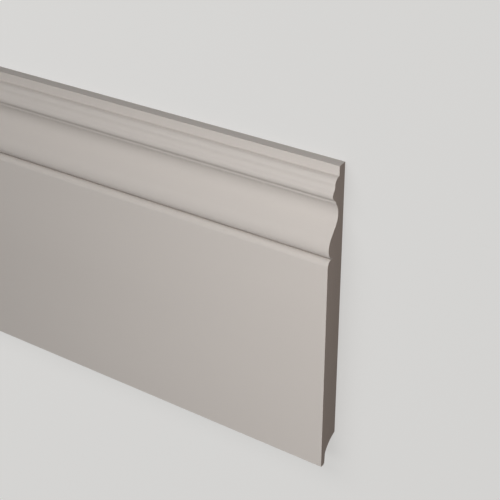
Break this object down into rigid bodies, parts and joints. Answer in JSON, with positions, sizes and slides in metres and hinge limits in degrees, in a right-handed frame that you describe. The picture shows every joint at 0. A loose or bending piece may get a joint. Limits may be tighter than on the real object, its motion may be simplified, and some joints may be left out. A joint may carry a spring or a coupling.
{
  "type": "skirting board length",
  "caption": "Long skirting board with a plain flat lower face, a cove, ogee and bead moulding along its top edge, and a cable recess behind its foot.",
  "frame": {"origin": "middle of the flat back, halfway along the length and halfway up the board's height", "axes": "the board lies on its back: +X along its length, +Y from the foot edge towards the moulded top edge, +Z out of the moulded face"},
  "size_m": [2, 0.2, 0.015],
  "materials": {
    "primed_polymer": "matte"
  },
  "bodies": {
    "root": {"skirting_board": "primed_polymer"}
  },
  "joints": []
}
